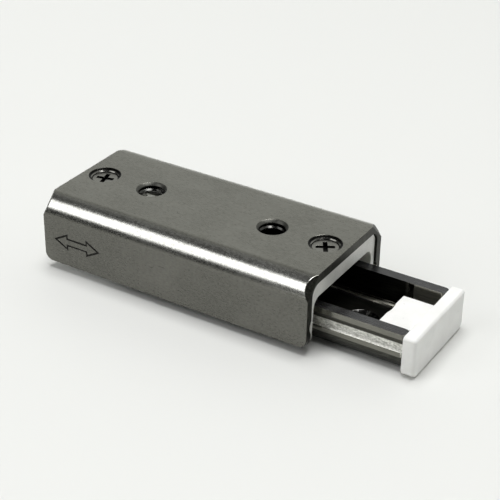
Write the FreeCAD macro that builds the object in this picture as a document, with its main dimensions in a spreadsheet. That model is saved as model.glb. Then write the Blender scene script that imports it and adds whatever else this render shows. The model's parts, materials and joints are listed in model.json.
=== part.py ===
import FreeCAD, Part
import math
import os
import Sketcher

# Miniature linear slide unit: a formed steel table rides over a formed steel bed on two rows
# of balls, held in strip cages.  Millimetres.  Origin at the centre of the bed's bottom face,
# +X along the travel, +Z up from the bed to the table.

Vector = FreeCAD.Vector

DIMENSIONS = {
    # table: formed channel, open side down
    "table_length": 35.0,
    "table_width": 16.8,
    "table_thickness": 1.05,
    "table_top": 9.1,
    "table_skirt_bottom": 1.0,
    "table_bend_radius": 2.3,
    "table_bend_inner_radius": 1.25,
    "skirt_corner_radius": 1.0,
    "bend_relief": 0.6,
    "table_rest_offset": 10.0,
    # threaded holes and screw seats in the table
    "tapped_hole_spacing": 16.3,
    "tapped_hole_radius": 1.5,
    "tapped_mouth_radius": 1.82,
    "tapped_mouth_depth": 0.32,
    "seat_spacing": 29.7,
    "seat_mouth_radius": 1.93,
    "seat_bore_radius": 1.07,
    # direction mark engraved on the side
    "mark_length": 6.4,
    "mark_head_length": 1.9,
    "mark_head_half_width": 1.05,
    "mark_shaft_half_width": 0.5,
    "mark_line_width": 0.16,
    "mark_depth": 0.08,
    "mark_offset": 12.8,
    "mark_height": 4.15,
    # bed: formed channel, open side up
    "bed_length": 35.0,
    "bed_width": 11.12,
    "bed_inner_width": 8.46,
    "bed_wall_top": 4.73,
    "bed_floor": 1.1,
    "bed_bend_radius": 1.9,
    "bed_bend_inner_radius": 0.65,
    "bed_end_radius": 0.5,
    "bed_hole_spacing": 19.5,
    "bed_hole_radius": 1.2,
    "bed_hole_mouth_radius": 1.95,
    # raceways, balls and cages
    "ball_radius": 1.1905,
    "groove_radius": 1.2105,
    "groove_offset": 6.455,
    "groove_height": 3.24,
    "ball_pitch": 2.8,
    "cage_length": 17.6,
    "cage_thickness": 0.6,
    "cage_low": 1.45,
    "cage_high": 5.03,
    "pocket_clearance": 0.05,
    # resin end plates of the table
    "plate_recess": 0.25,
    "plate_leg_length": 2.2,
    "plate_band_length": 4.6,
    "plate_band_half_width": 3.1,
    "plate_side_gap": 0.03,
    "plate_band_bottom": 6.05,
    "plate_leg_bottom": 1.3,
    "plate_opening_half_top": 6.45,
    "plate_opening_half_bottom": 6.7,
    "plate_corner_radius": 1.3,
    "plate_opening_radius": 1.1,
    # end screws
    "screw_sink": 0.43,
    "screw_head_radius": 1.5,
    "screw_shank_radius": 0.98,
    "screw_length": 2.5,
    "screw_thread_gap": 0.01,
    "cross_length": 2.1,
    "cross_width": 0.5,
    "cross_depth": 0.55,
    "front_cross_angle": 31.0,
    "rear_cross_angle": 14.0,
    # resin stopper caps of the bed
    "cap_thickness": 1.55,
    "cap_half_width": 6.12,
    "cap_top": 4.89,
    "cap_edge_radius": 0.35,
    "cap_bottom_corner_radius": 1.0,
    "tongue_length": 4.3,
    "tongue_half_width": 2.95,
    "tongue_top": 3.8,
    "tongue_relief_radius": 3.6,
    "tongue_edge_radius": 0.15,
    # cap screws, fitted from below
    "cap_screw_inset": 2.1,
    "cap_screw_head_radius": 1.3,
    "cap_screw_shank_radius": 0.7,
    "cap_screw_length": 2.9,
    "cap_screw_sink": 0.1,
    "cap_cross_length": 1.6,
    "cap_cross_width": 0.36,
    "cap_cross_depth": 0.4,
}

BALLS_PER_SIDE = 6
SIDES = {"left": 1, "right": -1}
ENDS = {"front": 1, "rear": -1}
LINE_UP = 0.001
BEND_MIDDLE = 45.0  # degrees from a flat face to the crest of the bend beside it
RELIEF_BLOCK = 6.0

doc = FreeCAD.newDocument("linear_slide_unit")
sheet = doc.addObject("Spreadsheet::Sheet", "dims")
for row, (alias, amount) in enumerate(DIMENSIONS.items(), start=1):
    sheet.set(f"A{row}", alias)
    sheet.set(f"B{row}", str(amount))
    sheet.setAlias(f"B{row}", alias)
doc.recompute()


class Size:
    """A length held twice: as a number, and as the sheet expression that gives it."""

    def __init__(self, number, text):
        self.number = number
        self.text = text

    @staticmethod
    def of(other):
        if isinstance(other, Size):
            return other
        return Size(float(other), f"{float(other):.6f}")

    def __add__(self, other):
        other = Size.of(other)
        return Size(self.number + other.number, f"({self.text} + {other.text})")

    def __sub__(self, other):
        other = Size.of(other)
        return Size(self.number - other.number, f"({self.text} - {other.text})")

    def __mul__(self, other):
        other = Size.of(other)
        return Size(self.number * other.number, f"({self.text} * {other.text})")

    def __truediv__(self, other):
        other = Size.of(other)
        return Size(self.number / other.number, f"({self.text} / {other.text})")

    def __neg__(self):
        return Size(-self.number, f"(0 - {self.text})")


def dim(alias):
    return Size(DIMENSIONS[alias], f"dims.{alias}")


ZERO = Size.of(0)


def bind(obj, **sizes):
    """Ties properties of an object to sheet expressions; a double underscore stands for a dot."""
    for name, size in sizes.items():
        obj.setExpression(name.replace("__", "."), Size.of(size).text)


def put(obj, x=ZERO, y=ZERO, z=ZERO, axis=None, angle=0.0):
    """Turns an object by a fixed angle about an axis, and ties its place to the sheet."""
    if axis is not None:
        obj.Placement = FreeCAD.Placement(Vector(0, 0, 0), FreeCAD.Rotation(axis, angle))
    bind(obj, Placement__Base__x=x, Placement__Base__y=y, Placement__Base__z=z)
    return obj


# ---------------------------------------------------------------- sketches and features

def new_body(name):
    body = doc.addObject("PartDesign::Body", name)
    body.Label = name
    return body


def origin_plane(body, role):
    return next(item for item in body.Origin.OriginFeatures if item.Role == role)


def polygon_sketch(body, name, role, points, offset=None):
    """A closed outline of straight lines, each corner tied to the sheet's cells."""
    sketch = body.newObject("Sketcher::SketchObject", name)
    sketch.AttachmentSupport = [(origin_plane(body, role), "")]
    sketch.MapMode = "FlatFace"
    if offset is not None:
        bind(sketch, AttachmentOffset__Base__z=offset)
    count = len(points)
    for index in range(count):
        start = points[index]
        end = points[(index + 1) % count]
        line = Part.LineSegment(
            Vector(start[0].number, start[1].number, 0),
            Vector(end[0].number, end[1].number, 0),
        )
        sketch.addGeometry(line, False)
    for index in range(count):
        sketch.addConstraint(Sketcher.Constraint("Coincident", index, 2, (index + 1) % count, 1))
    for index, corner in enumerate(points):
        for kind, size in zip(("DistanceX", "DistanceY"), corner):
            made = sketch.addConstraint(Sketcher.Constraint(kind, -1, 1, index, 1, size.number))
            sketch.setExpression(f"Constraints[{made}]", size.text)
    return sketch


def pad(body, name, sketch, length, symmetric=False):
    feature = body.newObject("PartDesign::Pad", name)
    feature.Profile = sketch
    feature.SideType = "Symmetric" if symmetric else "One side"
    bind(feature, Length=length)
    doc.recompute()
    return feature


def round_edges(body, name, base, radius, wanted):
    """Rounds those edges of a feature for which wanted(middle, direction) is true."""
    names = []
    for number, edge in enumerate(base.Shape.Edges, start=1):
        middle = edge.BoundBox.Center
        if len(edge.Vertexes) == 2:
            direction = (edge.Vertexes[1].Point - edge.Vertexes[0].Point).normalize()
            if wanted(middle, direction):
                names.append(f"Edge{number}")
    feature = body.newObject("PartDesign::Fillet", name)
    feature.Base = (base, names)
    bind(feature, Radius=radius)
    doc.recompute()
    return feature


def along(direction, axis):
    return abs(direction.dot(axis)) > 1 - LINE_UP


def near(number, size):
    return abs(abs(number) - abs(Size.of(size).number)) < LINE_UP


AXIS_X = Vector(1, 0, 0)
AXIS_Y = Vector(0, 1, 0)
AXIS_Z = Vector(0, 0, 1)


# ---------------------------------------------------------------- cutting tools

def cylinder(name, radius, height, x=ZERO, y=ZERO, z=ZERO, axis=None, angle=0.0):
    tool = doc.addObject("Part::Cylinder", name)
    bind(tool, Radius=radius, Height=height)
    return put(tool, x, y, z, axis, angle)


def cone(name, low_radius, high_radius, height, x=ZERO, y=ZERO, z=ZERO):
    tool = doc.addObject("Part::Cone", name)
    bind(tool, Radius1=low_radius, Radius2=high_radius, Height=height)
    return put(tool, x, y, z)


def block(name, length, width, height, x=ZERO, y=ZERO, z=ZERO):
    tool = doc.addObject("Part::Box", name)
    bind(tool, Length=length, Width=width, Height=height)
    return put(tool, x, y, z)


def fuse(name, pieces):
    joined = doc.addObject("Part::MultiFuse", name)
    joined.Shapes = pieces
    return joined


def cut(name, base, tools):
    """Takes the tools from the base; the result is the named sub-part."""
    tool = tools[0] if len(tools) == 1 else fuse(f"{name}_tools", tools)
    result = doc.addObject("Part::Cut", name)
    result.Base = base
    result.Tool = tool
    result.Label = name
    return result


OVERRUN = 1.0


def groove_tools(name, length):
    """Two long rods, one each side, that cut the ball raceways."""
    rods = []
    for side, sign in SIDES.items():
        rods.append(cylinder(
            f"{name}_groove_{side}", dim("groove_radius"), length + 2 * OVERRUN,
            -(length / 2) - OVERRUN, dim("groove_offset") * sign, dim("groove_height"),
            AXIS_Y, 90.0,
        ))
    return rods


# ---------------------------------------------------------------- table

def arrow_outline(length, head_length, head_half_width, shaft_half_width):
    """Corners of a double-headed arrow that lies along X and stands in Z, about the origin."""
    tip = length / 2
    neck = tip - head_length
    quarter = [(tip, 0.0), (neck, head_half_width), (neck, shaft_half_width)]
    half = quarter + [(-x, z) for x, z in reversed(quarter)]
    lower = [(x, -z) for x, z in reversed(half) if z > 0]
    return [Vector(x, 0, z) for x, z in half + lower]


def direction_mark():
    """A thin outlined double arrow, sunk into the skirt's outer face to show the travel."""
    values = {alias: getattr(sheet, alias) for alias in DIMENSIONS}
    corners = arrow_outline(
        values["mark_length"], values["mark_head_length"],
        values["mark_head_half_width"], values["mark_shaft_half_width"],
    )
    outer = Part.makePolygon(corners + corners[:1])
    inner = outer.makeOffset2D(-values["mark_line_width"], 2)
    line_face = Part.Face(outer).cut(Part.Face(inner))
    overrun = values["mark_depth"]
    mark = doc.addObject("Part::Feature", "direction_mark")
    mark.Shape = line_face.extrude(Vector(0, values["mark_depth"] + overrun, 0))
    put(
        mark, -dim("mark_offset"), -(dim("table_width") / 2) - dim("mark_depth"), dim("mark_height"),
    )
    return mark


def table_blank():
    half = dim("table_width") / 2
    inside = half - dim("table_thickness")
    ceiling = dim("table_top") - dim("table_thickness")
    foot = dim("table_skirt_bottom")
    body = new_body("table_blank")
    outline = polygon_sketch(body, "table_section", "YZ_Plane", [
        (-half, foot), (-half, dim("table_top")), (half, dim("table_top")), (half, foot),
        (inside, foot), (inside, ceiling), (-inside, ceiling), (-inside, foot),
    ])
    channel = pad(body, "table_channel", outline, dim("table_length"), symmetric=True)
    bends = round_edges(
        body, "table_bends", channel, dim("table_bend_radius"),
        lambda middle, way: along(way, AXIS_X) and near(middle.y, half)
        and near(middle.z, dim("table_top")),
    )
    inner_bends = round_edges(
        body, "table_inner_bends", bends, dim("table_bend_inner_radius"),
        lambda middle, way: along(way, AXIS_X) and near(middle.y, inside) and near(middle.z, ceiling),
    )
    round_edges(
        body, "skirt_corners", inner_bends, dim("skirt_corner_radius"),
        lambda middle, way: along(way, AXIS_Y) and near(middle.z, foot)
        and near(middle.x, dim("table_length") / 2),
    )
    return body


def bend_relief_tools():
    """Slanted blocks that shave the crest of each bend where it meets the end faces."""
    radius = dim("table_bend_radius")
    crest = radius * (1 - math.cos(math.radians(BEND_MIDDLE)))
    slope = math.degrees(math.atan2(DIMENSIONS["bend_relief"], crest.number))
    tools = []
    for end, way in ENDS.items():
        for side, sign in SIDES.items():
            tool = block(f"bend_relief_{end}_{side}", RELIEF_BLOCK, RELIEF_BLOCK, RELIEF_BLOCK)
            lean = FreeCAD.Rotation(AXIS_Y, -slope)
            turn = FreeCAD.Rotation(AXIS_X, -BEND_MIDDLE * sign * way)
            flip = FreeCAD.Rotation(AXIS_Z, 0.0 if way > 0 else 180.0)
            rotation = flip.multiply(turn).multiply(lean)
            middle = rotation.multVec(Vector(0, -RELIEF_BLOCK / 2, 0))
            tool.Placement = FreeCAD.Placement(Vector(0, 0, 0), rotation)
            # the slant starts halfway between the lines where the bend meets its two flat faces
            put(
                tool,
                dim("table_length") / 2 * way + middle.x,
                (dim("table_width") - radius) / 2 * sign + middle.y,
                dim("table_top") - radius / 2 + middle.z,
            )
            tools.append(tool)
    return tools


def make_table():
    top = dim("table_top")
    under = top - dim("table_thickness") - OVERRUN
    through = dim("table_thickness") + 2 * OVERRUN
    seat_depth = dim("seat_mouth_radius") - dim("seat_bore_radius")
    tools = groove_tools("table", dim("table_length")) + bend_relief_tools() + [direction_mark()]
    for end, way in ENDS.items():
        tap_x = dim("tapped_hole_spacing") / 2 * way
        seat_x = dim("seat_spacing") / 2 * way
        tools.append(cylinder(f"tap_{end}", dim("tapped_hole_radius"), through, tap_x, ZERO, under))
        tools.append(cone(
            f"tap_mouth_{end}", dim("tapped_hole_radius"), dim("tapped_mouth_radius"),
            dim("tapped_mouth_depth"), tap_x, ZERO, top - dim("tapped_mouth_depth"),
        ))
        tools.append(cylinder(f"seat_bore_{end}", dim("seat_bore_radius"), through, seat_x, ZERO, under))
        tools.append(cone(
            f"seat_mouth_{end}", dim("seat_bore_radius"), dim("seat_mouth_radius"), seat_depth,
            seat_x, ZERO, top - seat_depth,
        ))
    table = cut("table", table_blank(), tools)
    put(table, -dim("table_rest_offset"))
    return table


# ---------------------------------------------------------------- bed

def bed_blank():
    half = dim("bed_width") / 2
    inside = dim("bed_inner_width") / 2
    floor = dim("bed_floor")
    wall_top = dim("bed_wall_top")
    body = new_body("bed_blank")
    outline = polygon_sketch(body, "bed_section", "YZ_Plane", [
        (-half, ZERO), (-half, wall_top), (-inside, wall_top), (-inside, floor),
        (inside, floor), (inside, wall_top), (half, wall_top), (half, ZERO),
    ])
    channel = pad(body, "bed_channel", outline, dim("bed_length"), symmetric=True)
    bends = round_edges(
        body, "bed_bends", channel, dim("bed_bend_radius"),
        lambda middle, way: along(way, AXIS_X) and near(middle.y, half) and near(middle.z, ZERO),
    )
    inner_bends = round_edges(
        body, "bed_inner_bends", bends, dim("bed_bend_inner_radius"),
        lambda middle, way: along(way, AXIS_X) and near(middle.y, inside) and near(middle.z, floor),
    )
    round_edges(
        body, "bed_wall_ends", inner_bends, dim("bed_end_radius"),
        lambda middle, way: along(way, AXIS_Z) and near(middle.x, dim("bed_length") / 2),
    )
    return body


def make_bed():
    floor = dim("bed_floor")
    through = floor + 2 * OVERRUN
    mouth_depth = dim("bed_hole_mouth_radius") - dim("bed_hole_radius")
    cap_seat_depth = dim("cap_screw_head_radius") - dim("cap_screw_shank_radius")
    tools = groove_tools("bed", dim("bed_length"))
    for end, way in ENDS.items():
        hole_x = dim("bed_hole_spacing") / 2 * way
        cap_x = (dim("bed_length") / 2 - dim("cap_screw_inset")) * way
        tools.append(cylinder(
            f"bed_hole_{end}", dim("bed_hole_radius"), through, hole_x, ZERO, -OVERRUN,
        ))
        tools.append(cone(
            f"bed_mouth_{end}", dim("bed_hole_radius"), dim("bed_hole_mouth_radius"), mouth_depth,
            hole_x, ZERO, floor - mouth_depth,
        ))
        tools.append(cylinder(
            f"cap_bore_{end}", dim("cap_screw_shank_radius") + dim("screw_thread_gap"), through,
            cap_x, ZERO, -OVERRUN,
        ))
        tools.append(cone(
            f"cap_seat_{end}", dim("cap_screw_head_radius"), dim("cap_screw_shank_radius"),
            cap_seat_depth, cap_x, ZERO, dim("cap_screw_sink"),
        ))
        tools.append(cylinder(
            f"cap_recess_{end}", dim("cap_screw_head_radius"), dim("cap_screw_sink") + OVERRUN,
            cap_x, ZERO, -OVERRUN,
        ))
    return cut("bed", bed_blank(), tools)


# ---------------------------------------------------------------- end plates and their screws

def make_end_plate(end, way):
    """Modelled with its outer face on X = 0 and its band reaching to -X, then turned into place."""
    name = f"end_plate_{end}"
    half = dim("table_width") / 2 - dim("table_thickness") - dim("plate_side_gap")
    top = dim("table_top") - dim("table_thickness")
    foot = dim("plate_leg_bottom")
    band = dim("plate_band_bottom")
    narrow = dim("plate_opening_half_top")
    wide = dim("plate_opening_half_bottom")
    body = new_body(f"{name}_blank")
    outline = polygon_sketch(body, f"{name}_section", "YZ_Plane", [
        (-half, foot), (-half, top), (half, top), (half, foot),
        (wide, foot), (narrow, band), (-narrow, band), (-wide, foot),
    ], offset=-dim("plate_leg_length"))
    frame = pad(body, f"{name}_frame", outline, dim("plate_leg_length"))
    corners = round_edges(
        body, f"{name}_corners", frame, dim("plate_corner_radius"),
        lambda middle, way: along(way, AXIS_X) and near(middle.y, half) and near(middle.z, top),
    )
    round_edges(
        body, f"{name}_opening_corners", corners, dim("plate_opening_radius"),
        lambda middle, way: along(way, AXIS_X) and near(middle.y, narrow) and near(middle.z, band),
    )
    boss_half = dim("plate_band_half_width")
    boss_outline = polygon_sketch(body, f"{name}_boss_section", "YZ_Plane", [
        (-boss_half, band), (-boss_half, top), (boss_half, top), (boss_half, band),
    ], offset=-dim("plate_band_length"))
    pad(body, f"{name}_boss", boss_outline, dim("plate_band_length"))
    screw_x = dim("seat_spacing") / 2 - (dim("table_length") / 2 - dim("plate_recess"))
    hole = cylinder(
        f"{name}_pilot", dim("screw_shank_radius") + dim("screw_thread_gap"),
        top - band + 2 * OVERRUN, screw_x, ZERO, band - OVERRUN,
    )
    plate = cut(name, body, [hole])
    put(
        plate, -dim("table_rest_offset") + (dim("table_length") / 2 - dim("plate_recess")) * way,
        axis=AXIS_Z, angle=0.0 if way > 0 else 180.0,
    )
    return plate


def cross_recess(name, length, width, depth, z, angle):
    """Two blocks across each other, for a cross-head driver."""
    arms = []
    for index in range(2):
        arm = block(f"{name}_arm_{index}", length, width, depth + OVERRUN)
        turn = FreeCAD.Rotation(AXIS_Z, angle + 90.0 * index)
        corner = turn.multVec(Vector(-length.number / 2, -width.number / 2, 0))
        arm.Placement = FreeCAD.Placement(Vector(0, 0, 0), turn)
        put(arm, Size.of(corner.x), Size.of(corner.y), z)
        arms.append(arm)
    return arms


def make_end_screw(end, way):
    """Countersunk cross-head screw; its head sits a little below the table's top face."""
    name = f"end_screw_{end}"
    top = dim("table_top") - dim("screw_sink")
    head_depth = dim("screw_head_radius") - dim("seat_bore_radius")
    shank = cylinder(
        f"{name}_shank", dim("screw_shank_radius"), dim("screw_length"),
        ZERO, ZERO, top - dim("screw_length"),
    )
    head = cone(
        f"{name}_head", dim("seat_bore_radius") - dim("screw_thread_gap"),
        dim("screw_head_radius") - dim("screw_thread_gap"), head_depth, ZERO, ZERO, top - head_depth,
    )
    angle = DIMENSIONS[f"{end}_cross_angle"]
    arms = cross_recess(
        name, dim("cross_length"), dim("cross_width"), dim("cross_depth"),
        top - dim("cross_depth"), angle,
    )
    screw = cut(name, fuse(f"{name}_blank", [shank, head]), arms)
    put(screw, -dim("table_rest_offset") + dim("seat_spacing") / 2 * way)
    return screw


# ---------------------------------------------------------------- stopper caps and their screws

def make_stopper_cap(end, way):
    """Plate across the bed's end with a tongue that lies on the bed's floor.  Modelled with
    the plate's back on X = 0 and the tongue reaching to -X, then turned into place."""
    name = f"stopper_cap_{end}"
    half = dim("cap_half_width")
    top = dim("cap_top")
    body = new_body(f"{name}_blank")
    outline = polygon_sketch(body, f"{name}_section", "YZ_Plane", [
        (-half, ZERO), (-half, top), (half, top), (half, ZERO),
    ])
    plate = pad(body, f"{name}_plate", outline, dim("cap_thickness"))
    lower = round_edges(
        body, f"{name}_lower_corners", plate, dim("cap_bottom_corner_radius"),
        lambda middle, way: along(way, AXIS_X) and near(middle.z, ZERO),
    )
    upper = round_edges(
        body, f"{name}_upper_corners", lower, dim("cap_edge_radius"),
        lambda middle, way: along(way, AXIS_X) and near(middle.z, top),
    )
    round_edges(
        body, f"{name}_rim", upper, dim("cap_edge_radius"),
        lambda middle, way: near(middle.x, dim("cap_thickness")) and along(way, AXIS_Y)
        and near(middle.z, top),
    )
    tongue_half = dim("tongue_half_width")
    tongue_outline = polygon_sketch(body, f"{name}_tongue_plan", "XY_Plane", [
        (-dim("tongue_length"), -tongue_half), (ZERO, -tongue_half),
        (ZERO, tongue_half), (-dim("tongue_length"), tongue_half),
    ], offset=dim("bed_floor"))
    tongue = pad(body, f"{name}_tongue", tongue_outline, dim("tongue_top") - dim("bed_floor"))
    round_edges(
        body, f"{name}_tongue_edges", tongue, dim("tongue_edge_radius"),
        lambda middle, way: along(way, AXIS_X) and near(middle.z, dim("tongue_top")),
    )
    hole_x = dim("bed_hole_spacing") / 2 - dim("bed_length") / 2
    relief = cylinder(
        f"{name}_relief", dim("tongue_relief_radius"),
        dim("tongue_top") + OVERRUN, hole_x, ZERO, ZERO,
    )
    pilot = cylinder(
        f"{name}_pilot", dim("cap_screw_shank_radius") + dim("screw_thread_gap"),
        dim("cap_screw_length") - dim("bed_floor") + dim("screw_thread_gap"),
        -dim("cap_screw_inset"), ZERO, dim("bed_floor"),
    )
    cap = cut(name, body, [relief, pilot])
    put(cap, dim("bed_length") / 2 * way, axis=AXIS_Z, angle=0.0 if way > 0 else 180.0)
    return cap


def make_cap_screw(end, way):
    """Small countersunk screw driven up through the bed's floor into the cap's tongue."""
    name = f"cap_screw_{end}"
    sink = dim("cap_screw_sink")
    head_depth = dim("cap_screw_head_radius") - dim("cap_screw_shank_radius")
    shank = cylinder(
        f"{name}_shank", dim("cap_screw_shank_radius"), dim("cap_screw_length") - sink,
        ZERO, ZERO, sink,
    )
    head = cone(
        f"{name}_head", dim("cap_screw_head_radius") - dim("screw_thread_gap"),
        dim("cap_screw_shank_radius") - dim("screw_thread_gap"), head_depth, ZERO, ZERO, sink,
    )
    arms = cross_recess(
        name, dim("cap_cross_length"), dim("cap_cross_width"), dim("cap_cross_depth"),
        sink - OVERRUN, DIMENSIONS["front_cross_angle"],
    )
    screw = cut(name, fuse(f"{name}_blank", [shank, head]), arms)
    put(screw, (dim("bed_length") / 2 - dim("cap_screw_inset")) * way)
    return screw


# ---------------------------------------------------------------- balls and cages

def ball_places():
    """Where the balls of one cage sit along X, about the cage's middle."""
    middle = (BALLS_PER_SIDE - 1) / 2
    return [dim("ball_pitch") * (index - middle) for index in range(BALLS_PER_SIDE)]


def make_cage(side, sign):
    """Strip with a round pocket for each ball, halfway between the bed and the table."""
    name = f"cage_{side}"
    strip = block(
        f"{name}_strip", dim("cage_length"), dim("cage_thickness"),
        dim("cage_high") - dim("cage_low"),
        -(dim("cage_length") / 2), -(dim("cage_thickness") / 2), dim("cage_low"),
    )
    pockets = []
    for index, place in enumerate(ball_places(), start=1):
        pockets.append(cylinder(
            f"{name}_pocket_{index}", dim("ball_radius") + dim("pocket_clearance"),
            dim("cage_thickness") + 2 * OVERRUN, place, dim("cage_thickness") / 2 + OVERRUN,
            dim("groove_height"), AXIS_X, 90.0,
        ))
    cage = cut(name, strip, pockets)
    put(cage, -(dim("table_rest_offset") / 2), dim("groove_offset") * sign)
    return cage


def make_balls(side, sign):
    balls = []
    for index, place in enumerate(ball_places(), start=1):
        name = f"ball_{side}_{index}"
        ball = doc.addObject("Part::Sphere", name)
        ball.Label = name
        bind(ball, Radius=dim("ball_radius"))
        put(
            ball, place - dim("table_rest_offset") / 2, dim("groove_offset") * sign,
            dim("groove_height"),
        )
        balls.append(ball)
    return balls


# ---------------------------------------------------------------- assembly and output

parts = [make_table(), make_bed()]
for end, way in ENDS.items():
    parts.append(make_end_plate(end, way))
    parts.append(make_end_screw(end, way))
    parts.append(make_stopper_cap(end, way))
    parts.append(make_cap_screw(end, way))
for side, sign in SIDES.items():
    parts.append(make_cage(side, sign))
    parts.extend(make_balls(side, sign))
doc.recompute()

failed = [item.Name for item in doc.Objects if {"Invalid", "Error"} & set(item.State)]
if failed:
    raise RuntimeError(f"features that did not build: {failed}")
for part in parts:
    if part.Shape.isNull() or not part.Shape.isValid():
        raise RuntimeError(f"{part.Label} has no valid shape")
    if len(part.Shape.Solids) != 1:
        raise RuntimeError(f"{part.Label} holds {len(part.Shape.Solids)} solids")

os.makedirs("parts", exist_ok=True)
for part in parts:
    part.Shape.exportStep(f"parts/{part.Label}.step")
print(f"wrote {len(parts)} parts")
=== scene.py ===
import json
import math

import bmesh
import bpy
from mathutils import Matrix, Vector


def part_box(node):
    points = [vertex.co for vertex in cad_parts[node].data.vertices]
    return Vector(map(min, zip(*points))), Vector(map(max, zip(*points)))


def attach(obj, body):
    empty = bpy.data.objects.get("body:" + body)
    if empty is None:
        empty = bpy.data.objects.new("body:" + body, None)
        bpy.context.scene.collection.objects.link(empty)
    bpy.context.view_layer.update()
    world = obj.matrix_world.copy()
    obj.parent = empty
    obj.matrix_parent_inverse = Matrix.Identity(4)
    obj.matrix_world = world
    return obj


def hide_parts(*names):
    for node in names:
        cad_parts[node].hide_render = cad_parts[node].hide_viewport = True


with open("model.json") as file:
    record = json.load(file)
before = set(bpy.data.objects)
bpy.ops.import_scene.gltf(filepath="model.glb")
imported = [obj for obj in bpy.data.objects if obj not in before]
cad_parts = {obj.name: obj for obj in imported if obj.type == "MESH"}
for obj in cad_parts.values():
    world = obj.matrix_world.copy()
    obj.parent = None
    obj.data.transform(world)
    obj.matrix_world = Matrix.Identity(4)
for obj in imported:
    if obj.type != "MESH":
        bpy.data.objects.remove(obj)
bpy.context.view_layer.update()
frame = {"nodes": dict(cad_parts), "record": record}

MM = 0.001


# ------------------------------------------------------------------ node helpers

MIX_DARK, MIX_LIGHT, MIX_OUT = 6, 7, 2        # colour sockets of the Mix node


def ranged(tree, value, low, high, low_to, high_to, interpolation="LINEAR"):
    """Maps low..high to low_to..high_to, clamped at both ends."""
    made = tree.nodes.new("ShaderNodeMapRange")
    made.interpolation_type = interpolation
    for key, number in (
        ("From Min", low), ("From Max", high), ("To Min", low_to), ("To Max", high_to),
    ):
        made.inputs[key].default_value = number
    tree.links.new(value, made.inputs["Value"])
    return made.outputs["Result"]


class Shader:
    """Builds one procedural material, node by node."""

    def __init__(self, name, metallic=0.0):
        self.material = bpy.data.materials.new(name)
        self.material.use_nodes = True
        self.tree = self.material.node_tree
        self.principled = self.tree.nodes["Principled BSDF"]
        self.principled.inputs["Metallic"].default_value = metallic
        self.place = self.tree.nodes.new("ShaderNodeTexCoord").outputs["Object"]

    def node(self, kind, **settings):
        made = self.tree.nodes.new(kind)
        for key, value in settings.items():
            setattr(made, key, value)
        return made

    def link(self, output, socket):
        self.tree.links.new(output, socket)

    def axes(self):
        """The object coordinates, in metres, as the outputs X, Y and Z."""
        split = self.node("ShaderNodeSeparateXYZ")
        self.link(self.place, split.inputs["Vector"])
        return split.outputs

    def noise(self, cells, detail=4.0, roughness=0.6, distortion=0.0):
        """Noise with its own number of cells per millimetre along each axis."""
        mapping = self.node("ShaderNodeMapping")
        mapping.inputs["Scale"].default_value = tuple(count / MM for count in cells)
        self.link(self.place, mapping.inputs["Vector"])
        made = self.node("ShaderNodeTexNoise")
        made.inputs["Scale"].default_value = 1.0
        made.inputs["Detail"].default_value = detail
        made.inputs["Roughness"].default_value = roughness
        made.inputs["Distortion"].default_value = distortion
        self.link(mapping.outputs["Vector"], made.inputs["Vector"])
        return made.outputs["Fac"]

    def ramp(self, value, low, high, low_to=0.0, high_to=1.0):
        return ranged(self.tree, value, low, high, low_to, high_to)

    def math(self, operation, first, second):
        made = self.node("ShaderNodeMath", operation=operation)
        for socket, value in zip(made.inputs, (first, second)):
            if isinstance(value, (int, float)):
                socket.default_value = value
            else:
                self.link(value, socket)
        return made.outputs["Value"]

    def blend(self, first, second, share):
        """The first noise at its share and the second at the rest."""
        return self.math(
            "ADD", self.math("MULTIPLY", first, share), self.math("MULTIPLY", second, 1.0 - share),
        )

    def mix(self, factor, dark, light):
        made = self.node("ShaderNodeMix", data_type="RGBA")
        for index, colour in ((MIX_DARK, dark), (MIX_LIGHT, light)):
            if isinstance(colour, tuple):
                made.inputs[index].default_value = (*colour, 1.0)
            else:
                self.link(colour, made.inputs[index])
        self.link(factor, made.inputs["Factor"])
        return made.outputs[MIX_OUT]

    def colour(self, output):
        self.link(output, self.principled.inputs["Base Color"])

    def roughness(self, output):
        self.link(output, self.principled.inputs["Roughness"])

    def bump(self, layers):
        """Stacks bump layers, each (height output, depth in millimetres, strength)."""
        below = None
        for height, depth, strength in layers:
            made = self.node("ShaderNodeBump")
            made.inputs["Strength"].default_value = strength
            made.inputs["Distance"].default_value = depth * MM
            self.link(height, made.inputs["Height"])
            if below is not None:
                self.link(below, made.inputs["Normal"])
            below = made.outputs["Normal"]
        self.link(below, self.principled.inputs["Normal"])


# ------------------------------------------------------------------ materials
# Colours are linear, pattern sizes are cells per millimetre, bump depths are millimetres.

TONE = (0.36, 0.64)        # the part of a noise's spread that a colour mix runs over
SPREAD = (0.3, 0.7)        # and the part that a roughness runs over
SPOTS = (0.70, 0.78)       # only a noise's rare peaks
# painted shade for the bed's channel, and the plainer steel it lifts to by the front cap
CHANNEL_PAINTED_SHADE = ((0.006, 0.006, 0.005), (0.018, 0.018, 0.015))
CHANNEL_PLAIN_STEEL = ((0.15, 0.148, 0.13), (0.22, 0.217, 0.19))
# painted contact shadow at the bed's foot
FOOT_PAINTED_SHADOW = (0.002, 0.002, 0.002)
# painted shade in the screw seats
SEAT_PAINTED_SHADE = (0.004, 0.004, 0.0035)
PIT = (0.05, 0.05, 0.043)


def steel(name, dark, light, grain, rough, bump_depth):
    """Bare steel: a grain with its own fineness along each axis, and a cloudy tone."""
    made = Shader(name, metallic=1.0)
    fine = made.noise(grain, detail=6.0)
    cloud = made.noise((0.12, 0.12, 0.12), detail=3.0, distortion=0.4)
    speck = made.noise((3.1, 3.1, 3.1), detail=2.0)
    made.colour(made.mix(made.ramp(made.blend(fine, cloud, 0.6), *TONE), dark, light))
    uneven = made.math(
        "ADD", made.ramp(cloud, *SPREAD, -0.03, 0.04), made.ramp(fine, *SPREAD, -0.03, 0.03),
    )
    made.roughness(made.math("ADD", uneven, rough))
    made.bump([(fine, bump_depth, 0.35), (speck, bump_depth, 0.2)])
    return made.material


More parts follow.
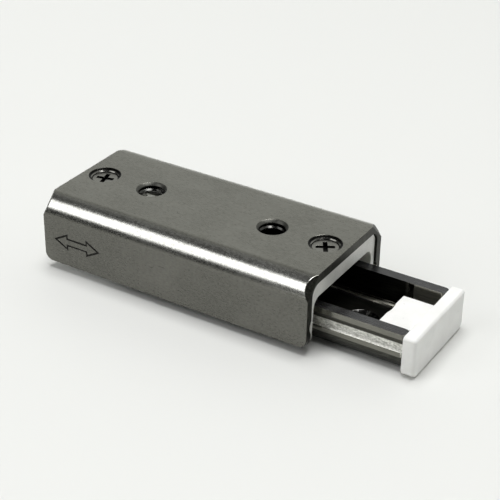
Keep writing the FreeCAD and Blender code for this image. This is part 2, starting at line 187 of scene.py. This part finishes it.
def table_steel(name, bend_y, bend_z, radius):
    """The table's skin: satin flats with fine lengthwise grain and small pits, their sides below
    the bend painted darker than the top as shade, and bends that the forming die has burnished,
    brightest on the crest and lined with faint drawing marks."""
    made = Shader(name, metallic=1.0)
    fine = made.noise((2.2, 5.0, 5.0), detail=6.0, roughness=0.65)
    cloud = made.noise((0.14, 0.2, 0.2), detail=3.0, distortion=0.4)
    speck = made.noise((3.1, 3.1, 3.1), detail=3.0)
    spot = made.noise((1.5, 2.2, 2.2), detail=1.0, distortion=0.8)
    drawn = made.noise((0.05, 7.0, 7.0), detail=4.0)
    tone = made.blend(fine, cloud, 0.65)
    axes = made.axes()
    top = made.mix(made.ramp(tone, *TONE), (0.165, 0.163, 0.144), (0.245, 0.242, 0.217))
    # painted shade: the sides below the bend are a darker copy of the top's steel
    shaded_skirt = made.mix(made.ramp(tone, *TONE), (0.115, 0.114, 0.102), (0.178, 0.176, 0.158))
    flat = made.mix(made.ramp(axes["Z"], bend_z, bend_z + 0.3 * radius), shaded_skirt, top)
    flat = made.mix(made.ramp(spot, *SPOTS, 0.0, 0.5), flat, PIT)
    outward = made.math("SUBTRACT", made.math("ABSOLUTE", axes["Y"], 0.0), bend_y)
    upward = made.math("SUBTRACT", axes["Z"], bend_z)
    crest = made.math("MULTIPLY", made.math("MULTIPLY", outward, upward), 2.0 / radius ** 2)
    shine = made.ramp(crest, 0.35, 0.95)
    streaks = made.blend(drawn, speck, 0.5)
    bright = made.mix(made.ramp(streaks, 0.38, 0.60), (0.43, 0.43, 0.40), (0.78, 0.78, 0.745))
    made.colour(made.mix(shine, flat, bright))
    uneven = made.ramp(tone, *SPREAD, -0.05, 0.06)
    worn = made.math("MULTIPLY", shine, -0.03)
    made.roughness(made.math("ADD", made.math("ADD", uneven, worn), 0.28))
    made.bump([(fine, 0.004, 0.4), (speck, 0.004, 0.3), (drawn, 0.003, 0.3)])
    return made.material


def channel_steel(name, shade_until, plain_from):
    """The inside of the bed's channel: painted shade along its length under the table, lifting to
    plainer steel by the front cap.
    The change runs from one X to the other, in metres."""
    made = Shader(name, metallic=1.0)
    fine = made.noise((0.6, 6.0, 6.0), detail=6.0)
    along = made.axes()["X"]
    dark, light = (made.mix(made.ramp(fine, *TONE), *pair) for pair in (CHANNEL_PAINTED_SHADE, CHANNEL_PLAIN_STEEL))
    made.colour(made.mix(made.ramp(along, shade_until, plain_from), dark, light))
    uneven = made.ramp(fine, *SPREAD, -0.02, 0.02)
    made.roughness(made.math("ADD", uneven, made.ramp(along, shade_until, plain_from, 0.45, 0.1)))
    made.bump([(fine, 0.003, 0.4)])
    return made.material


def foot_steel(name, height):
    """The bed's lower bends: steel painted darker as the shade they reflect from the floor,
    darkening down to a painted contact shadow at the foot.
    """
    made = Shader(name, metallic=1.0)
    fine = made.noise((0.9, 7.0, 7.0), detail=6.0)
    painted_dim_bend = made.mix(made.ramp(fine, *TONE), (0.036, 0.036, 0.032), (0.075, 0.075, 0.066))
    made.colour(made.mix(made.ramp(made.axes()["Z"], 0.0, height), FOOT_PAINTED_SHADOW, painted_dim_bend))
    made.roughness(made.ramp(fine, *SPREAD, 0.23, 0.29))
    made.bump([(fine, 0.005, 0.4)])
    return made.material


def sheared_steel(name, dark, light):
    """A cut edge: dark, rough, streaked across the sheet."""
    made = Shader(name, metallic=1.0)
    streak = made.noise((5.0, 5.0, 1.2), detail=5.0)
    crumb = made.noise((7.0, 7.0, 7.0), detail=3.0)
    tone = made.math("MULTIPLY", made.math("ADD", streak, crumb), 0.5)
    made.colour(made.mix(made.ramp(tone, 0.38, 0.64), dark, light))
    made.roughness(made.ramp(crumb, *SPREAD, 0.38, 0.55))
    made.bump([(streak, 0.02, 0.5), (crumb, 0.012, 0.4)])
    return made.material


def raceway_steel(name, centre_height):
    """A ball track: ground bright where the balls run, with short lengthwise marks and a speckle
    of duller spots, and painted dark above that band as the shade it reflects from the floor."""
    made = Shader(name, metallic=1.0)
    marks = made.noise((1.3, 9.0, 9.0), detail=5.0, roughness=0.7)
    speckle = made.noise((3.4, 5.0, 5.0), detail=4.0, roughness=0.7)
    tone = made.blend(marks, speckle, 0.45)
    ground = made.mix(made.ramp(tone, 0.40, 0.60), (0.44, 0.44, 0.40), (0.93, 0.93, 0.88))
    # painted shade: the track is dark above its bright band
    painted_shade_from = (centre_height + 0.12 * MM, centre_height + 0.22 * MM)
    made.colour(made.mix(made.ramp(made.axes()["Z"], *painted_shade_from), ground, (0.07, 0.07, 0.06)))
    made.roughness(made.ramp(tone, 0.35, 0.65, 0.56, 0.42))
    made.bump([(marks, 0.006, 0.5), (speckle, 0.006, 0.35)])
    return made.material


def seat_steel(name, top):
    """A screw's countersink: painted dark as shade at the mouth and under the head, with a ring of
    plain steel between.
    """
    made = Shader(name, metallic=1.0)
    turning = made.noise((2.0, 2.0, 12.0), detail=4.0)
    wander = made.ramp(turning, *SPREAD, -0.03 * MM, 0.03 * MM)
    height = made.math("ADD", made.axes()["Z"], wander)
    under_mouth = made.ramp(height, top - 0.22 * MM, top - 0.27 * MM)
    above_head = made.ramp(height, top - 0.38 * MM, top - 0.34 * MM)
    bare = made.math("MULTIPLY", under_mouth, above_head)
    shade = made.mix(made.ramp(turning, 0.35, 0.65), (0.12, 0.12, 0.11), (0.22, 0.217, 0.20))
    made.colour(made.mix(bare, SEAT_PAINTED_SHADE, shade))
    made.roughness(made.ramp(bare, 0.0, 1.0, 0.45, 0.16))
    made.bump([(turning, 0.008, 0.4)])
    return made.material


def engraved_steel(name):
    """The bottom of the marked line: burnt dark and matt."""
    made = Shader(name, metallic=0.6)
    burn = made.noise((9.0, 9.0, 9.0), detail=4.0)
    made.colour(made.mix(made.ramp(burn, 0.35, 0.7), (0.006, 0.006, 0.005), (0.035, 0.034, 0.03)))
    made.roughness(made.ramp(burn, *SPREAD, 0.5, 0.75))
    made.bump([(burn, 0.01, 0.5)])
    return made.material


def resin(name, dark, light, rough, specks=0.0):
    """Moulded resin: faint cloudiness, a fine spark-eroded mould texture and soft gloss, with a
    few darker specks at the given strength."""
    made = Shader(name)
    made.principled.inputs["Subsurface Weight"].default_value = 0.12
    made.principled.inputs["Subsurface Radius"].default_value = (0.4 * MM, 0.4 * MM, 0.35 * MM)
    made.principled.inputs["Subsurface Scale"].default_value = 1.0
    cloud = made.noise((0.35, 0.35, 0.35), detail=3.0)
    texture = made.noise((9.0, 9.0, 9.0), detail=3.0)
    shade = made.mix(made.ramp(cloud, 0.35, 0.65), dark, light)
    if specks:
        spot = made.noise((1.9, 1.9, 1.9), detail=1.0)
        speck = tuple(0.6 * part for part in dark)
        shade = made.mix(made.ramp(spot, 0.74, 0.80, 0.0, specks), shade, speck)
    made.colour(shade)
    made.roughness(made.ramp(texture, *SPREAD, rough - 0.05, rough + 0.06))
    made.bump([(texture, 0.01, 0.25), (cloud, 0.03, 0.2)])
    return made.material


# ------------------------------------------------------------------ sizes taken from the CAD

TABLE_LOW, TABLE_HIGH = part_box("table")
BED_LOW, BED_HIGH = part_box("bed")
TABLE_MIDDLE = (TABLE_LOW + TABLE_HIGH) / 2

TABLE_THICKNESS = 1.05 * MM
BEND_RADIUS = 2.3 * MM
BEND_Y = TABLE_HIGH.y - BEND_RADIUS        # where the table's top turns into its sides
BEND_Z = TABLE_HIGH.z - BEND_RADIUS
RACE_HEIGHT = 3.24 * MM
# X where the channel's painted shade ends and its plainer steel begins
CHANNEL_SHADE_UNTIL, CHANNEL_PLAIN_FROM = 12.7 * MM, 13.4 * MM
# height over which the bed's lower bends darken to the painted contact shadow
FOOT_SHADOW_HEIGHT = 1.5 * MM


# ------------------------------------------------------------------ the materials themselves

SATIN = table_steel("satin_steel", BEND_Y, BEND_Z, BEND_RADIUS)
GROUND = steel(
    "ground_steel", (0.15, 0.148, 0.13), (0.22, 0.218, 0.19), (0.6, 9.0, 9.0), 0.2, 0.005,
)
ROLLED = steel(
    "rolled_steel", (0.062, 0.062, 0.064), (0.115, 0.115, 0.118), (0.9, 7.0, 7.0), 0.24, 0.005,
)
UNDER_BEND = foot_steel("bed_bend_steel", FOOT_SHADOW_HEIGHT)
INNER = channel_steel("bed_inner_steel", CHANNEL_SHADE_UNTIL, CHANNEL_PLAIN_FROM)
INNER_BEND = steel(
    "bed_inner_bend_steel", (0.30, 0.29, 0.25), (0.42, 0.41, 0.36), (0.6, 6.0, 6.0), 0.2, 0.004,
)
COUNTERSINK = steel(
    "countersink_steel", (0.08, 0.079, 0.076), (0.13, 0.128, 0.125), (4.0, 4.0, 8.0), 0.15, 0.004,
)
# painted shade: the table sheet's inner faces, under the table, darker than its outside
INSIDE = steel(
    "table_inner_steel", (0.02, 0.02, 0.018), (0.04, 0.04, 0.036), (0.6, 7.0, 7.0), 0.3, 0.005,
)
SHEARED = sheared_steel("sheared_steel", (0.012, 0.012, 0.010), (0.06, 0.06, 0.05))
RACEWAY = raceway_steel("raceway_steel", RACE_HEIGHT)
SEAT = seat_steel("screw_seat_steel", TABLE_HIGH.z)
ENGRAVED = engraved_steel("engraved_steel")
# painted shade: the dark walls inside the holes
BORE = steel(
    "bored_steel", (0.01, 0.01, 0.009), (0.025, 0.025, 0.022), (5.0, 5.0, 2.0), 0.25, 0.006,
)
TAP_CHAMFER = steel(
    "tap_chamfer_steel", (0.06, 0.06, 0.054), (0.10, 0.10, 0.09), (5.0, 5.0, 5.0), 0.42, 0.003,
)
# painted shade: the thread dark as the inside of its hole, in a tone that varies at random
THREAD = steel(
    "threaded_steel", (0.01, 0.01, 0.009), (0.10, 0.10, 0.095), (0.8, 0.8, 0.8), 0.16, 0.002,
)
# painted shade: the dark of the screws' driver recesses and seats
RECESS = steel(
    "recess_steel", (0.012, 0.012, 0.011), (0.03, 0.03, 0.027), (6.0, 6.0, 6.0), 0.4, 0.006,
)
SCREW = steel(
    "screw_steel", (0.19, 0.188, 0.17), (0.27, 0.267, 0.245), (3.0, 3.0, 3.0), 0.28, 0.004,
)
CAGE = steel(
    "cage_steel", (0.34, 0.33, 0.31), (0.46, 0.45, 0.42), (1.0, 6.0, 6.0), 0.3, 0.003,
)
BALL = steel("ball_steel", (0.6, 0.6, 0.6), (0.7, 0.7, 0.7), (4.0, 4.0, 4.0), 0.1, 0.0005)
GREY_RESIN = resin("grey_resin", (0.70, 0.70, 0.67), (0.80, 0.80, 0.765), 0.3)
WHITE_RESIN = resin("white_resin", (0.82, 0.82, 0.80), (0.89, 0.89, 0.87), 0.42, specks=0.35)

NODE_MATERIAL = {
    "table": SATIN,
    "bed": GROUND,
    "end_plate": GREY_RESIN,
    "end_screw": SCREW,
    "stopper_cap": WHITE_RESIN,
    "cap_screw": SCREW,
    "cage": CAGE,
    "ball": BALL,
}


def by_name(rows, node):
    """The value in rows whose key the node's name starts with."""
    return next(value for start, value in rows.items() if node.startswith(start))


for node, shown in frame["nodes"].items():
    shown.data.materials.clear()
    shown.data.materials.append(by_name(NODE_MATERIAL, node))


# ------------------------------------------------------------------ where each finish shows

END_ZONE = 0.8 * MM                        # the sheared ends, with their broken edges
TABLE_RIM = TABLE_LOW.z + 0.05 * MM        # the sheared lower rims of the table's sides
MARK_DEPTHS = (0.02 * MM, 0.1 * MM)        # the engraved mark, below the table's near side
MARK_TOP = TABLE_HIGH.z - 2.4 * MM
SEAT_RADIUS = 1.95 * MM
TAP_REACH = 1.9 * MM                       # a tapped hole with its chamfer, each side of Y = 0
TAP_KEEP_OUT = 4.0 * MM                    # nothing is tapped this near to the table's middle
GROOVE_HALF = 1.0 * MM
TABLE_RACE_Y = 7.36 * MM                   # the table's track is further out than its wall
BED_TOP = BED_HIGH.z - 0.05 * MM
BED_SIDE_Y = 4.3 * MM                      # the bed's outer side is beyond, its channel within
BED_RACE_Y = BED_HIGH.y - 0.01 * MM        # the bed's track is cut in from its outer face
CHANNEL_FLOOR = 0.1 * MM                   # the channel's faces are above, the foot's below
CHANNEL_BEND_Y = 3.0 * MM
BED_HOLE_REACH = 2.0 * MM
SCREW_HEADS = (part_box("end_screw_front")[1].z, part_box("cap_screw_front")[0].z)
HEAD_TOLERANCE = 0.02 * MM
LEVEL = 0.9                                # a normal's share along an axis that it faces
NEARLY_LEVEL = 0.95
SLOPING = 0.3
STEEP = 0.1                                # below this share a wall counts as upright
BEND_DOWN = -0.03


def centre_of(node):
    low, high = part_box(node)
    return (low + high) / 2


SCREW_CENTRES = [centre_of(node) for node in ("end_screw_front", "end_screw_rear")]


def to_nearer_end(point, low, high):
    return min(point.x - low.x, high.x - point.x)


def table_skin_depth(point):
    """How far a point is below the outside of the table's folded sheet."""
    outward = abs(point.y) - BEND_Y
    upward = point.z - BEND_Z
    if outward > 0 and upward > 0:
        return BEND_RADIUS - math.hypot(outward, upward)
    return BEND_RADIUS - max(outward, upward)


def table_finish(face):
    """The material of one face of the table, told from its place and its normal."""
    point, normal = face.calc_center_median(), face.normal
    if to_nearer_end(point, TABLE_LOW, TABLE_HIGH) < END_ZONE and abs(normal.x) > SLOPING:
        return SHEARED
    if normal.z < -LEVEL and point.z < TABLE_RIM:
        return SHEARED
    if MARK_DEPTHS[0] < point.y - TABLE_LOW.y < MARK_DEPTHS[1] and point.z < MARK_TOP:
        return ENGRAVED
    for centre in SCREW_CENTRES:
        reach = math.hypot(point.x - centre.x, point.y - centre.y)
        if reach < SEAT_RADIUS and normal.z < NEARLY_LEVEL:
            return SEAT if normal.z > SLOPING else BORE
    if abs(point.y) < TAP_REACH and abs(point.x - TABLE_MIDDLE.x) > TAP_KEEP_OUT:
        if abs(normal.z) < STEEP:
            return BORE
        if STEEP < normal.z < NEARLY_LEVEL:
            return TAP_CHAMFER
    if table_skin_depth(point) > 0.5 * TABLE_THICKNESS:
        on_race = abs(point.z - RACE_HEIGHT) < GROOVE_HALF and abs(point.y) > TABLE_RACE_Y
        return RACEWAY if on_race else INSIDE
    return SATIN


def bed_finish(face):
    """The material of one face of the bed, told from its place and its normal."""
    point, normal = face.calc_center_median(), face.normal
    if to_nearer_end(point, BED_LOW, BED_HIGH) < END_ZONE and abs(normal.x) > LEVEL:
        return SHEARED
    if normal.z > LEVEL and point.z > BED_TOP:
        return ROLLED
    if abs(point.y) > BED_SIDE_Y:
        if abs(point.y) < BED_RACE_Y and abs(point.z - RACE_HEIGHT) < GROOVE_HALF:
            return RACEWAY
        return UNDER_BEND if normal.z < BEND_DOWN else GROUND
    if point.z > CHANNEL_FLOOR and normal.z > STEEP:
        if abs(normal.y) > STEEP and abs(point.y) > CHANNEL_BEND_Y:
            return INNER_BEND
        if abs(point.y) < BED_HOLE_REACH and normal.z < LEVEL:
            return COUNTERSINK
    return INNER


def screw_finish(face):
    """Only the flat face of the head has the screw's steel; the driver's recess and the seat are
    painted dark as shade.
    """
    height = face.calc_center_median().z
    on_head = min(abs(height - level) for level in SCREW_HEADS) < HEAD_TOLERANCE
    return SCREW if on_head and abs(face.normal.z) > LEVEL else RECESS


def paint(mesh, finish):
    """Gives each face of a mesh the material that finish(face) names."""
    grid = bmesh.new()
    grid.from_mesh(mesh)
    mesh.materials.clear()
    slots = {}
    for face in grid.faces:
        chosen = finish(face)
        if chosen.name not in slots:
            slots[chosen.name] = len(mesh.materials)
            mesh.materials.append(chosen)
        face.material_index = slots[chosen.name]
    grid.to_mesh(mesh)
    grid.free()


# ------------------------------------------------------------------ edges of the CAD parts

MERGE = 0.0005 * MM
FLAT_ANGLE = math.radians(0.5)         # below it two faces are one
SHARP_ANGLE = math.radians(30.0)       # above it an edge is broken
CAP_FACE_X = BED_HIGH.x + 1.5 * MM     # a cap's outer face is beyond this

body_of = {}
for body, members in frame["record"]["behaviour"]["bodies"].items():
    for member in members:
        body_of[member] = body


def cap_rim(edge):
    """The rim of a cap's outer face: softly rounded, most along its foot."""
    middle = (edge.verts[0].co + edge.verts[1].co) / 2
    if abs(middle.x) < CAP_FACE_X:
        return None
    share = max(0.0, 1.0 - middle.z / MM)
    return 0.3 + 0.5 * share


def softened(node, width, bold):
    """A copy of a CAD part whose sharp edges are broken by a width in millimetres, as on the
    real piece; bold(edge) gives some edges a width of their own."""
    mesh = frame["nodes"][node].data.copy()
    piece = bpy.data.objects.new(f"{node}_softened", mesh)
    bpy.context.scene.collection.objects.link(piece)
    grid = bmesh.new()
    grid.from_mesh(mesh)
    bmesh.ops.remove_doubles(grid, verts=grid.verts, dist=MERGE)
    bmesh.ops.dissolve_limit(
        grid, angle_limit=FLAT_ANGLE, verts=grid.verts, edges=grid.edges,
        use_dissolve_boundaries=False,
    )
    for face in grid.faces:
        face.smooth = True
    layer = grid.edges.layers.float.new("bevel_weight_edge")
    widths = {}
    for edge in grid.edges:
        if len(edge.link_faces) == 2 and edge.calc_face_angle() > SHARP_ANGLE:
            own = bold(edge) if bold else None
            widths[edge] = own or width
    widest = max(widths.values())
    for edge, broken in widths.items():
        edge[layer] = broken / widest
    grid.to_mesh(mesh)
    grid.free()
    bevel = piece.modifiers.new("edge_break", "BEVEL")
    bevel.width = widest * MM
    bevel.segments = 3
    bevel.limit_method = "WEIGHT"
    bevel.use_clamp_overlap = False
    bevel.loop_slide = False
    bevel.miter_outer = "MITER_ARC"
    flatten = piece.modifiers.new("flat_faces_stay_flat", "WEIGHTED_NORMAL")
    flatten.mode = "FACE_AREA"
    flatten.weight = 100
    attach(piece, body_of[node])
    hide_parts(node)
    return piece


# Per kind of part: width in millimetres, edges with a width of their own, finish of the faces.
# The balls aren't here: they stay as the CAD has them.
EDGE_BREAK = {
    "table": (0.06, None, table_finish),
    "bed": (0.04, None, bed_finish),
    "end_plate": (0.08, None, None),
    "end_screw": (0.03, None, screw_finish),
    "stopper_cap": (0.12, cap_rim, None),
    "cap_screw": (0.03, None, screw_finish),
    "cage": (0.04, None, None),
}
for node in sorted(frame["nodes"]):
    if not node.startswith("ball"):
        width, bold, finish = by_name(EDGE_BREAK, node)
        piece = softened(node, width, bold)
        if finish:
            paint(piece.data, finish)


# ------------------------------------------------------------------ threads of the tapped holes

TAP_SPACING = 16.3 * MM
TAP_RADIUS = 1.5 * MM
TAP_MOUTH = 0.32 * MM                  # depth of the chamfer above the thread
THREAD_BELOW = 0.25 * MM               # the ridge starts this far under the sheet
THREAD_PITCH = 0.5 * MM
THREAD_DEPTH = 0.2 * MM
THREAD_FLANK = 0.21 * MM               # half the ridge's width at the wall
THREAD_CREST = 0.03 * MM               # and at its crest
THREAD_SUNK = 0.01 * MM                # how far its root is in the wall
THREAD_STEPS = 96                      # per turn
THREAD_FADE = 30                       # steps over which each end runs out
THREAD_LEAST = 0.02                    # share of its depth left at the very end


def thread(name, axis, low, high):
    """A helical ridge inside a tapped hole, with a V section whose root is sunk in the wall."""
    turns = (high - low) / THREAD_PITCH - 1.0
    steps = int(turns * THREAD_STEPS)
    root = TAP_RADIUS + THREAD_SUNK
    crest = TAP_RADIUS - THREAD_DEPTH
    section = (
        (root, -THREAD_FLANK), (crest, -THREAD_CREST), (crest, THREAD_CREST), (root, THREAD_FLANK),
    )
    grid = bmesh.new()
    rings = []
    for step in range(steps + 1):
        angle = step / THREAD_STEPS * 2 * math.pi
        rise = low + THREAD_PITCH * (0.5 + step / THREAD_STEPS)
        fade = min(1.0, step / THREAD_FADE, (steps - step) / THREAD_FADE)
        ring = []
        for radius, offset in section:
            reach = root - (root - radius) * max(fade, THREAD_LEAST)
            ring.append(grid.verts.new((
                axis.x + reach * math.cos(angle), axis.y + reach * math.sin(angle), rise + offset,
            )))
        rings.append(ring)
    for first, second in zip(rings, rings[1:]):
        for index in range(len(section)):
            after = (index + 1) % len(section)
            grid.faces.new((first[index], first[after], second[after], second[index]))
    grid.faces.new(rings[0][::-1])
    grid.faces.new(rings[-1])
    bmesh.ops.recalc_face_normals(grid, faces=grid.faces)
    mesh = bpy.data.meshes.new(name)
    grid.to_mesh(mesh)
    grid.free()
    mesh.materials.append(THREAD)
    piece = bpy.data.objects.new(name, mesh)
    bpy.context.scene.collection.objects.link(piece)
    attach(piece, "table_body")


for name, way in (("thread_front", 1), ("thread_rear", -1)):
    thread(
        name, Vector((TABLE_MIDDLE.x + way * TAP_SPACING / 2, 0, 0)),
        TABLE_HIGH.z - TABLE_THICKNESS - THREAD_BELOW, TABLE_HIGH.z - TAP_MOUTH,
    )


# ------------------------------------------------------------------ stage

FLOOR_SIZE = 3.0
ROOM_TINT = (0.985, 1.0, 0.965, 1)
ROOM_NEAR = 0.14                       # radiance of the room on the viewer's side
ROOM_FAR = 0.80                        # and on the far side, which the table's top reflects
ROOM_TURN = (-0.1, 0.6)                # Y of a direction, from the one to the other
ROOM_ZENITH = 0.15                     # share of either that is left straight overhead
ROOM_RISE = (0.55, 0.9)                # Z of a direction over which it falls to that


def floor():
    bpy.ops.mesh.primitive_plane_add(size=FLOOR_SIZE, location=(0, 0, 0))
    plane = bpy.context.object
    plane.name = "floor"
    made = Shader("floor")
    made.principled.inputs["Base Color"].default_value = (0.735, 0.74, 0.72, 1)
    made.principled.inputs["Roughness"].default_value = 0.6
    plane.data.materials.append(made.material)


def reflection_card(name, left, right, y, height):
    """A dark strip beside the object, seen only in its reflections, as photographers use."""
    grid = bmesh.new()
    corners = [(left, y, 0), (right, y, 0), (right, y, height), (left, y, height)]
    grid.faces.new([grid.verts.new(corner) for corner in corners])
    mesh = bpy.data.meshes.new(name)
    grid.to_mesh(mesh)
    grid.free()
    card = bpy.data.objects.new(name, mesh)
    bpy.context.scene.collection.objects.link(card)
    made = Shader(name)
    made.principled.inputs["Base Color"].default_value = (0.01, 0.01, 0.01, 1)
    made.principled.inputs["Roughness"].default_value = 0.9
    made.principled.inputs["Specular IOR Level"].default_value = 0.0
    mesh.materials.append(made.material)
    card.visible_camera = False
    card.visible_diffuse = False
    card.visible_shadow = False


def softbox(name, toward, distance, width, height, power):
    """A rectangular light that faces the object from a direction, in metres and watts."""
    data = bpy.data.lights.new(name, "AREA")
    data.shape = "RECTANGLE"
    data.size = width
    data.size_y = height
    data.energy = power
    lamp = bpy.data.objects.new(name, data)
    direction = Vector(toward).normalized()
    lamp.location = direction * distance
    across = (Vector((1, 0, 0)) - direction * direction.x).normalized()
    turn = Matrix((across, direction.cross(across), direction)).transposed()
    lamp.rotation_mode = "QUATERNION"
    lamp.rotation_quaternion = turn.to_quaternion()
    bpy.context.scene.collection.objects.link(lamp)
    return lamp


def camera(azimuth, elevation, roll, distance, pan_right, pan_up, lens):
    """A camera on the middle of the table's top. Angles are in degrees, the lens is in
    millimetres, and the pans shift the whole camera sideways and up, in metres."""
    azimuth, elevation, roll = map(math.radians, (azimuth, elevation, roll))
    back = Vector((
        math.sin(azimuth) * math.cos(elevation),
        -math.cos(azimuth) * math.cos(elevation),
        math.sin(elevation),
    ))
    level = Vector((math.cos(azimuth), math.sin(azimuth), 0))
    upright = back.cross(level)
    right = level * math.cos(roll) + upright * math.sin(roll)
    up = back.cross(right)
    top_centre = Vector((TABLE_MIDDLE.x, TABLE_MIDDLE.y, TABLE_HIGH.z))
    data = bpy.data.cameras.new("camera")
    data.lens = lens
    data.sensor_width = 36.0
    data.clip_start = 0.005
    data.clip_end = 10.0
    view = bpy.data.objects.new("camera", data)
    bpy.context.scene.collection.objects.link(view)
    view.location = top_centre + right * pan_right + up * pan_up + back * distance
    view.rotation_mode = "QUATERNION"
    view.rotation_quaternion = Matrix((right, up, back)).transposed().to_quaternion()
    bpy.context.scene.camera = view


def surroundings():
    """A room that is bright behind the object, dark behind the viewer and dark overhead."""
    world = bpy.data.worlds.new("room")
    bpy.context.scene.world = world
    world.use_nodes = True
    tree = world.node_tree
    direction = tree.nodes.new("ShaderNodeTexCoord").outputs["Generated"]
    axes = tree.nodes.new("ShaderNodeSeparateXYZ")
    tree.links.new(direction, axes.inputs["Vector"])
    across = ranged(tree, axes.outputs["Y"], *ROOM_TURN, ROOM_NEAR, ROOM_FAR, "SMOOTHSTEP")
    height = ranged(tree, axes.outputs["Z"], *ROOM_RISE, 1.0, ROOM_ZENITH, "SMOOTHSTEP")
    strength = tree.nodes.new("ShaderNodeMath")
    strength.operation = "MULTIPLY"
    tree.links.new(across, strength.inputs[0])
    tree.links.new(height, strength.inputs[1])
    background = tree.nodes["Background"]
    tree.links.new(strength.outputs["Value"], background.inputs["Strength"])
    background.inputs["Color"].default_value = ROOM_TINT


floor()
surroundings()
reflection_card("dark_card", -150 * MM, TABLE_LOW.x + 18 * MM, TABLE_LOW.y - 30 * MM, 15 * MM)
softbox("window", (-0.47, -0.65, 0.60), 0.6, 0.38, 0.42, 1.1)

# Of the two panels overhead, reflections show only the ceiling and matt surfaces see only the key.
ceiling = softbox("ceiling_panel", (0.20, 0.11, 0.86), 0.9, 0.46, 0.6, 7.8)
ceiling.visible_diffuse = False
key = softbox("key_panel", (-0.06, 0.02, 0.88), 0.9, 0.5, 0.5, 7.3)
key.visible_glossy = False

camera(
    azimuth=31.271, elevation=30.083, roll=0.959, distance=157.258 * MM,
    pan_right=4.455 * MM, pan_up=-4.788 * MM, lens=100.19,
)
bpy.context.scene.view_settings.view_transform = "Standard"
